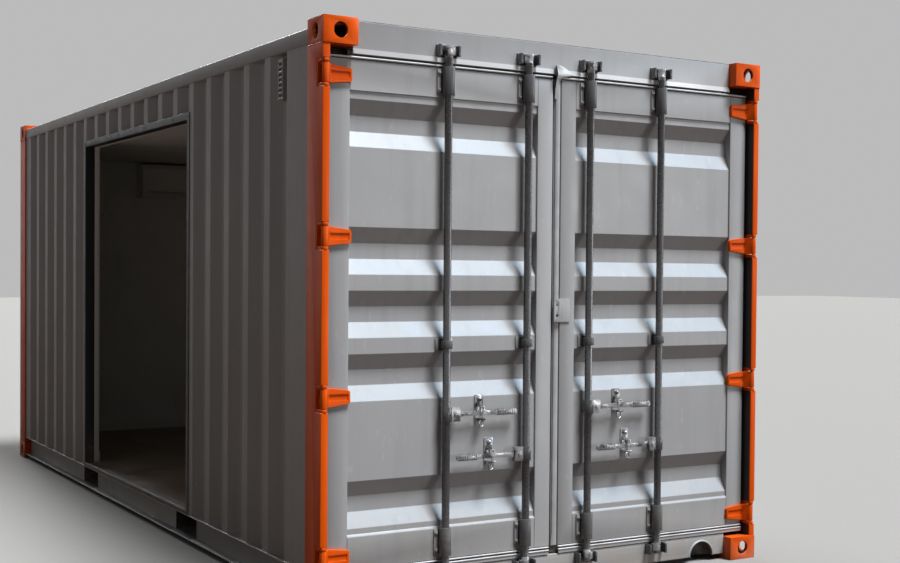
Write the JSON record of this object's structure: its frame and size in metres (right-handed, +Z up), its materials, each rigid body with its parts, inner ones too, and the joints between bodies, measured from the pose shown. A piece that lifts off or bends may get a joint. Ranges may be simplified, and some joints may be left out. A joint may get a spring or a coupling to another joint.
{
  "type": "shipping container cabin",
  "caption": "Steel shipping container made into a cabin: corrugated walls, cargo doors with lock rods at one end, a wide doorway cut in one long side, lined inside.",
  "frame": {"origin": "centre of the rectangle the container stands on, at ground level", "axes": "+Z up, +Y from the door end to the closed end, +X towards the long side without the doorway"},
  "size_m": [2.438, 6.058, 2.591],
  "materials": {
    "orange_paint": "weathered gloss paint",
    "grey_paint": "gloss paint",
    "dark_paint": "dull paint",
    "galvanised": "hot dip galvanised",
    "seal_rubber": "dull",
    "plywood": "worn varnish",
    "lining_board": "matt",
    "unit_plastic": "satin"
  },
  "bodies": {
    "shell": {"corner_castings_top": "orange_paint", "corner_castings_bottom": "orange_paint", "door_post_left": "orange_paint", "door_post_right": "orange_paint", "end_posts": "orange_paint", "door_header": "grey_paint", "door_sill": "grey_paint", "end_header": "grey_paint", "end_sill": "grey_paint", "top_rail_left": "grey_paint", "top_rail_right": "grey_paint", "bottom_rail_left": "grey_paint", "bottom_rail_right": "grey_paint", "left_wall_door_side": "grey_paint", "left_wall_end_side": "grey_paint", "left_wall_over_doorway": "grey_paint", "right_wall": "grey_paint", "end_wall": "grey_paint", "roof": "grey_paint", "floor_boards": "plywood", "cross_members": "dark_paint", "fork_pockets": "dark_paint", "left_lining": "lining_board", "right_lining": "lining_board", "end_lining": "lining_board", "ceiling_panel": "lining_board", "doorway_frame": "dark_paint", "air_conditioner": "unit_plastic", "ventilators": "grey_paint", "cam_keepers": "galvanised", "hinge_lugs": "orange_paint"},
    "left_door": {"left_leaf_frame": "grey_paint", "left_leaf_panel": "grey_paint", "left_leaf_gasket": "seal_rubber", "left_hinge_blades": "orange_paint", "left_rod_guides": "grey_paint", "left_handle_retainers": "galvanised"},
    "right_door": {"right_leaf_frame": "grey_paint", "right_leaf_panel": "grey_paint", "right_leaf_gasket": "seal_rubber", "right_hinge_blades": "orange_paint", "right_rod_guides": "grey_paint", "right_handle_retainers": "galvanised", "centre_gasket": "seal_rubber", "lock_plate": "grey_paint"},
    "rod_1": {"lock_rod_1": "galvanised"},
    "grip_1": {"handle_1": "galvanised"},
    "rod_2": {"lock_rod_2": "galvanised"},
    "grip_2": {"handle_2": "galvanised"},
    "rod_3": {"lock_rod_3": "galvanised"},
    "grip_3": {"handle_3": "galvanised"},
    "rod_4": {"lock_rod_4": "galvanised"},
    "grip_4": {"handle_4": "galvanised"}
  },
  "joints": [
    {"name": "left_door_hinge", "type": "hinge", "parent": "shell", "child": "left_door", "pos_m": [-1.201, -3.011, 0], "axis": [0, 0, -1], "range_deg": [0, 265]},
    {"name": "right_door_hinge", "type": "hinge", "parent": "shell", "child": "right_door", "pos_m": [1.201, -3.011, 0], "axis": [0, 0, 1], "range_deg": [0, 265]},
    {"name": "rod_1_turn", "type": "hinge", "parent": "left_door", "child": "rod_1", "pos_m": [-0.6, -2.999, 0], "axis": [0, 0, 1], "range_deg": [-95, 0]},
    {"name": "rod_2_turn", "type": "hinge", "parent": "left_door", "child": "rod_2", "pos_m": [-0.175, -2.999, 0], "axis": [0, 0, -1], "range_deg": [-95, 0]},
    {"name": "rod_3_turn", "type": "hinge", "parent": "right_door", "child": "rod_3", "pos_m": [0.175, -2.999, 0], "axis": [0, 0, 1], "range_deg": [-95, 0]},
    {"name": "rod_4_turn", "type": "hinge", "parent": "right_door", "child": "rod_4", "pos_m": [0.6, -2.999, 0], "axis": [0, 0, -1], "range_deg": [-95, 0]},
    {"name": "handle_1_lift", "type": "hinge", "parent": "rod_1", "child": "grip_1", "pos_m": [-0.558, -2.999, 0.84236], "axis": [0, -1, 0], "range_deg": [0, 25]},
    {"name": "handle_2_lift", "type": "hinge", "parent": "rod_2", "child": "grip_2", "pos_m": [-0.217, -2.999, 0.63936], "axis": [0, 1, 0], "range_deg": [0, 25]},
    {"name": "handle_3_lift", "type": "hinge", "parent": "rod_3", "child": "grip_3", "pos_m": [0.217, -2.999, 0.84236], "axis": [0, -1, 0], "range_deg": [0, 25]},
    {"name": "handle_4_lift", "type": "hinge", "parent": "rod_4", "child": "grip_4", "pos_m": [0.558, -2.999, 0.63936], "axis": [0, 1, 0], "range_deg": [0, 25]}
  ]
}
